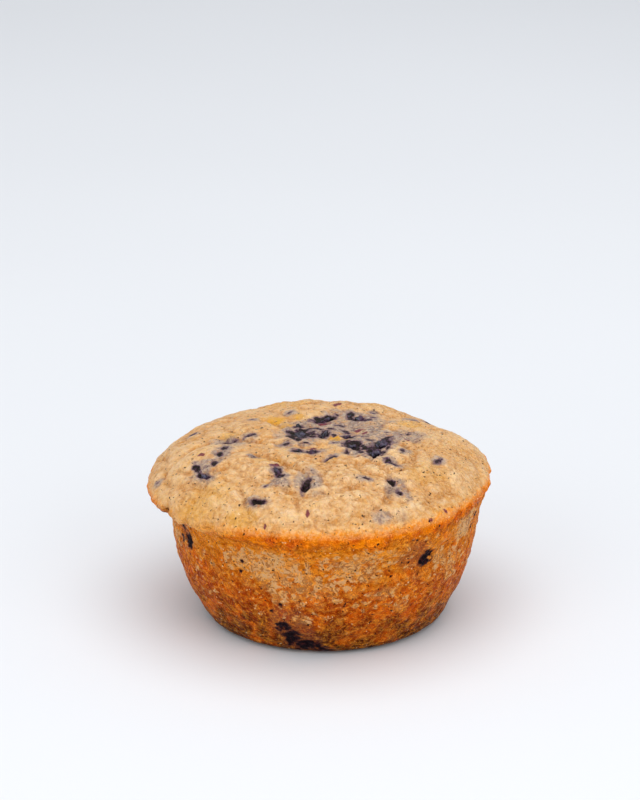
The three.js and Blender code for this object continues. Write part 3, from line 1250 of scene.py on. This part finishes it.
def fruit_material():
    """Cooked fruit skin: blue-black with slate painted highlights on the ridges, purple where it has torn"""
    nodes = Nodes("fruit")
    # Painted highlight: slate patches over the blue-black skin
    skin = nodes.blend(nodes.remap(nodes.noise(800, 3, 0.8), 0.44, 0.60), FRUIT_SKIN, FRUIT_PAINTED_HIGHLIGHT)
    torn = nodes.remap(nodes.noise(480, 2, 0.5), 0.45, 0.60, 0, 0.85)
    roughness = nodes.remap(nodes.noise(900, 2), 0.35, 0.65, 0.5, 0.28)
    nodes.surface(nodes.blend(torn, skin, FRUIT_TORN), roughness, specular=0.5)
    nodes.bump(nodes.noise(1400, 3, 0.5), strength=0.8, distance=0.0005)
    return nodes.material


def floor_material():
    """A matt, nearly white table"""
    nodes = Nodes("floor")
    shade = nodes.remap(nodes.noise(3, 2), 0.3, 0.7)
    nodes.surface(nodes.blend(shade, FLOOR_DIM, FLOOR_LIGHT), roughness=0.9, specular=0.1)
    return nodes.material


# ---- Scene ----

FLOOR_SIZE = 6
SKY_STRENGTH = 0.56

# Lamps: name, place, width and power
LAMPS = [
    ("overhead", (0.05, -0.12, 1.0), 1.3, 6.7),
    ("left_fill", (-0.8, -0.8, 0.55), 1.0, 2.9),
    ("right_fill", (0.8, -0.8, 0.55), 1.0, 3.3),
]
LAMP_TARGET = (0, 0, 0.02)

# The camera stands in front of the muffin and looks down at it, with a long lens
CAMERA_AIM = Vector((LEAN * MM, 0, 20 * MM))
CAMERA_DISTANCE = 0.6
CAMERA_ELEVATION = math.radians(22.83)
CAMERA_PITCH = math.radians(20.36)
CAMERA_TURN = math.radians(0.11)
CAMERA_LENS = 124.5
CAMERA_SENSOR = 36
CAMERA_NEAR = 0.01
CAMERA_FAR = 100


def new_object(name, data):
    item = bpy.data.objects.new(name, data)
    bpy.context.scene.collection.objects.link(item)
    return item


def mesh_object(name, points, triangles, material, layers):
    """A smooth-shaded mesh with values stored on its points"""
    mesh = bpy.data.meshes.new(name)
    mesh.from_pydata(points.tolist(), [], triangles.tolist())
    for layer, values in layers.items():
        if values.ndim == 2:
            stored = mesh.color_attributes.new(layer, "FLOAT_COLOR", "POINT")
            stored.data.foreach_set("color", np.c_[values, np.ones(len(values))].ravel())
        else:
            stored = mesh.attributes.new(layer, "FLOAT", "POINT")
            stored.data.foreach_set("value", values)
    mesh.polygons.foreach_set("use_smooth", np.ones(len(mesh.polygons), bool))
    mesh.materials.append(material)
    return new_object(name, mesh)


def make_crust():
    points, triangles, layers = crust()
    piece = mesh_object("crust", points, triangles, crust_material(), layers)
    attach(piece, "root")
    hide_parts("muffin")


def make_fruit():
    points, triangles = chunks()
    piece = mesh_object("fruit", points, triangles, fruit_material(), layers={})
    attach(piece, "root")


def make_floor():
    bpy.ops.mesh.primitive_plane_add(size=FLOOR_SIZE, location=(0, 0, 0))
    floor = bpy.context.object
    floor.name = "floor"
    floor.data.materials.append(floor_material())


def make_world():
    world = bpy.data.worlds.new("studio")
    world.use_nodes = True
    background = world.node_tree.nodes["Background"]
    background.inputs["Color"].default_value = SKY
    background.inputs["Strength"].default_value = SKY_STRENGTH
    bpy.context.scene.world = world


def make_lamp(name, place, width, power):
    """A round, soft lamp that shines at the muffin"""
    lamp = bpy.data.lights.new(name, "AREA")
    lamp.shape = "DISK"
    lamp.size = width
    lamp.energy = power
    light = new_object(name, lamp)
    light.location = place
    light.rotation_euler = (Vector(LAMP_TARGET) - Vector(place)).to_track_quat("-Z", "Y").to_euler()


def make_camera():
    data = bpy.data.cameras.new("camera")
    data.sensor_width = CAMERA_SENSOR
    data.lens = CAMERA_LENS
    data.clip_start = CAMERA_NEAR
    data.clip_end = CAMERA_FAR
    camera = new_object("camera", data)
    backward = Vector((0, -math.cos(CAMERA_ELEVATION), math.sin(CAMERA_ELEVATION)))
    camera.location = CAMERA_AIM + CAMERA_DISTANCE * backward
    camera.rotation_euler = (math.pi / 2 - CAMERA_PITCH, 0, CAMERA_TURN)
    bpy.context.scene.camera = camera


make_crust()
make_fruit()
make_floor()
make_world()
for lamp_settings in LAMPS:
    make_lamp(*lamp_settings)
make_camera()
bpy.context.scene.view_settings.view_transform = "Standard"
